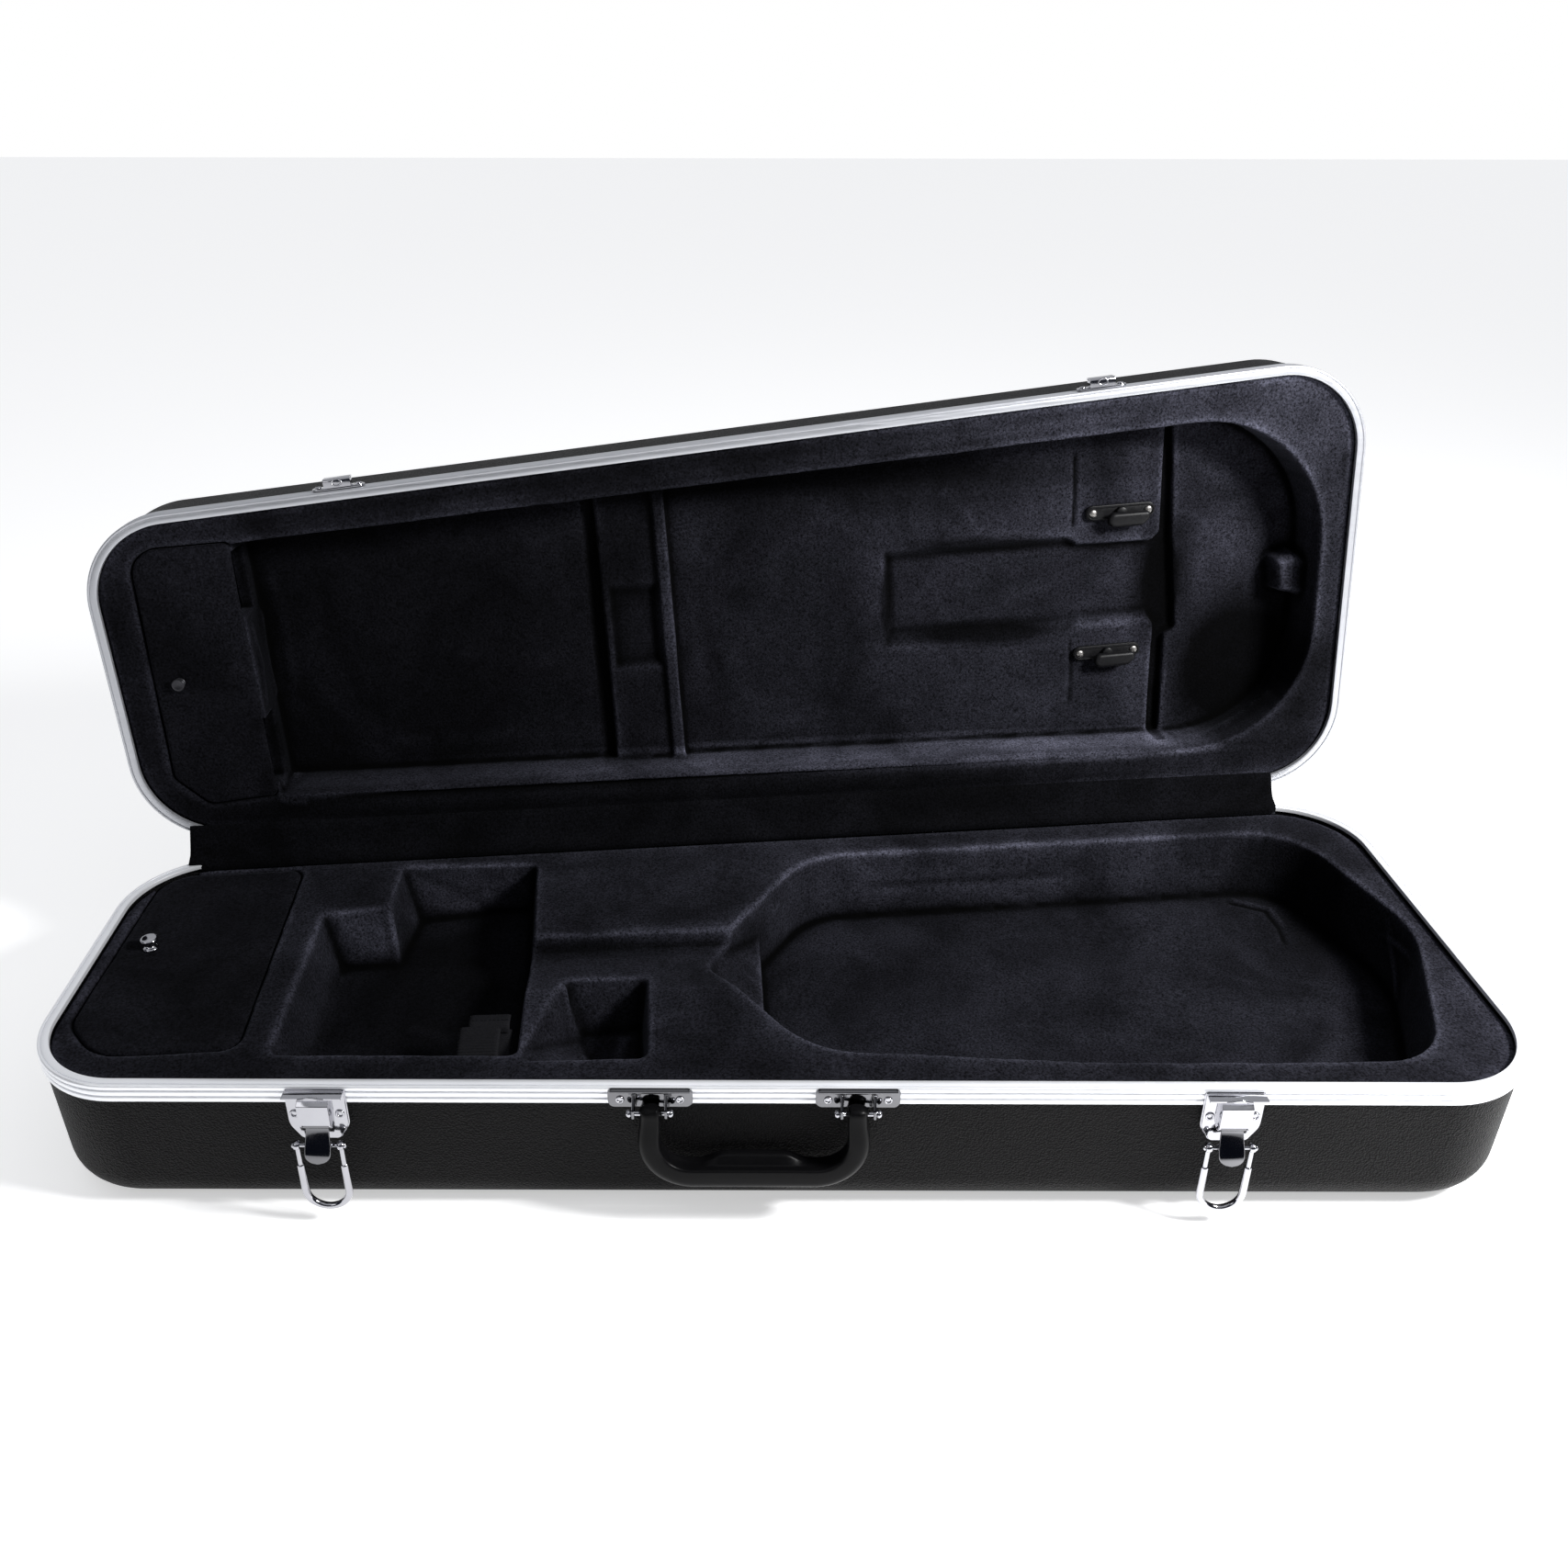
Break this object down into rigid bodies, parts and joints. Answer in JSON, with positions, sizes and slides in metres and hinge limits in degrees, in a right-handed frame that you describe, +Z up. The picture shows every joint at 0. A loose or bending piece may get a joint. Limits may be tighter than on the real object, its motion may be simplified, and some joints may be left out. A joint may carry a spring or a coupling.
{
  "type": "violin case",
  "caption": "Tapered hard violin case with a hinged lid standing open, metal rims, front latches and carrying handle, and velvet-lined spaces for the instrument and its accessories.",
  "frame": {"origin": "middle of the base's flat underside", "axes": "+X towards the wide end of the case, +Y towards the rear hinges, +Z up"},
  "size_m": [0.8019, 0.3859, 0.3769],
  "materials": {
    "black_abs": "satin",
    "satin_aluminium": "satin",
    "black_velvet": "matte",
    "chrome": "polished",
    "plated_steel": "satin",
    "black_handle": "satin",
    "holder_plastic": "satin",
    "black_webbing": "matte"
  },
  "bodies": {
    "base": {"base_shell": "black_abs", "base_valance": "satin_aluminium", "base_insert": "black_velvet", "neck_strap": "black_webbing", "neck_strap_backing": "black_webbing", "hinge_gusset": "black_velvet", "rear_hinge_base_leaf_left": "plated_steel", "rear_hinge_base_leaf_middle": "plated_steel", "rear_hinge_base_leaf_right": "plated_steel", "rear_hinge_pin_left": "plated_steel", "rear_hinge_pin_middle": "plated_steel", "rear_hinge_pin_right": "plated_steel", "handle_bracket_left": "chrome", "handle_bracket_right": "chrome", "handle_pin_left": "chrome", "handle_pin_right": "chrome", "handle_rivet_left_outer": "chrome", "handle_rivet_left_inner": "chrome", "handle_rivet_right_outer": "chrome", "handle_rivet_right_inner": "chrome", "latch_plate_left": "chrome", "latch_plate_right": "chrome", "latch_rivet_left_left": "chrome", "latch_rivet_left_right": "chrome", "latch_rivet_right_left": "chrome", "latch_rivet_right_right": "chrome", "latch_lever_pin_left": "plated_steel", "latch_lever_pin_right": "plated_steel"},
    "lid": {"lid_shell": "black_abs", "lid_valance": "satin_aluminium", "lid_insert": "black_velvet", "rear_hinge_lid_leaf_left": "plated_steel", "rear_hinge_lid_leaf_middle": "plated_steel", "rear_hinge_lid_leaf_right": "plated_steel", "lid_catch_left": "chrome", "lid_catch_right": "chrome", "catch_rivet_left_left": "chrome", "catch_rivet_left_right": "chrome", "catch_rivet_right_left": "chrome", "catch_rivet_right_right": "chrome", "bow_holder_base_front": "holder_plastic", "bow_holder_base_rear": "holder_plastic", "bow_holder_screw_front_left": "chrome", "bow_holder_screw_front_right": "chrome", "bow_holder_screw_rear_left": "chrome", "bow_holder_screw_rear_right": "chrome"},
    "handle": {"handle_grip": "black_handle"},
    "lever_left": {"latch_lever_left": "chrome", "latch_bail_pin_left": "chrome"},
    "lever_right": {"latch_lever_right": "chrome", "latch_bail_pin_right": "chrome"},
    "bail_left": {"latch_bail_left": "chrome"},
    "bail_right": {"latch_bail_right": "chrome"},
    "box_door": {"accessory_door": "black_velvet", "accessory_door_knob": "chrome"},
    "lid_door": {"lid_box_door": "black_velvet", "lid_box_knob": "chrome"},
    "paddle_front": {"bow_holder_paddle_front": "holder_plastic"},
    "paddle_rear": {"bow_holder_paddle_rear": "holder_plastic"}
  },
  "joints": [
    {"name": "lid_hinge", "type": "hinge", "parent": "base", "child": "lid", "pos_m": [-0.0013, 0.13226, 0.0865], "axis": [-0.9986, -0.0532, 0], "range_deg": [-95.8, 0], "deforming": ["hinge_gusset"]},
    {"name": "handle_swing", "type": "hinge", "parent": "base", "child": "handle", "pos_m": [-0.01914, -0.12864, 0.0745], "axis": [-0.9986, 0.0532, 0], "range_deg": [0, 95]},
    {"name": "latch_lever_left_turn", "type": "hinge", "parent": "base", "child": "lever_left", "pos_m": [-0.24017, -0.11577, 0.0655], "axis": [0.9986, -0.0532, 0], "range_deg": [-80, 0]},
    {"name": "latch_lever_right_turn", "type": "hinge", "parent": "base", "child": "lever_right", "pos_m": [0.22388, -0.14048, 0.0655], "axis": [0.9986, -0.0532, 0], "range_deg": [-80, 0]},
    {"name": "latch_bail_left_swing", "type": "hinge", "parent": "lever_left", "child": "bail_left", "pos_m": [-0.24027, -0.11777, 0.0535], "axis": [-0.9986, 0.0532, 0], "range_deg": [0, 165]},
    {"name": "latch_bail_right_swing", "type": "hinge", "parent": "lever_right", "child": "bail_right", "pos_m": [0.22377, -0.14248, 0.0535], "axis": [-0.9986, 0.0532, 0], "range_deg": [0, 165]},
    {"name": "box_door_hinge", "type": "hinge", "parent": "base", "child": "box_door", "pos_m": [-0.293, 0.011, 0.0812], "axis": [-0.0432, 0.9991, 0], "range_deg": [0, 100]},
    {"name": "lid_door_hinge", "type": "hinge", "parent": "lid", "child": "lid_door", "pos_m": [-0.31761, 0.1316, 0.20309], "axis": [-0.0463, 0.0986, 0.994], "range_deg": [0, 100]},
    {"name": "bow_paddle_front_turn", "type": "hinge", "parent": "lid", "child": "paddle_front", "pos_m": [0.23722, 0.20534, 0.27638], "axis": [0.0529, -0.9935, 0.1011], "range_deg": [0, 90]},
    {"name": "bow_paddle_rear_turn", "type": "hinge", "parent": "lid", "child": "paddle_rear", "pos_m": [0.23643, 0.19544, 0.17947], "axis": [0.0529, -0.9935, 0.1011], "range_deg": [0, 90]}
  ]
}
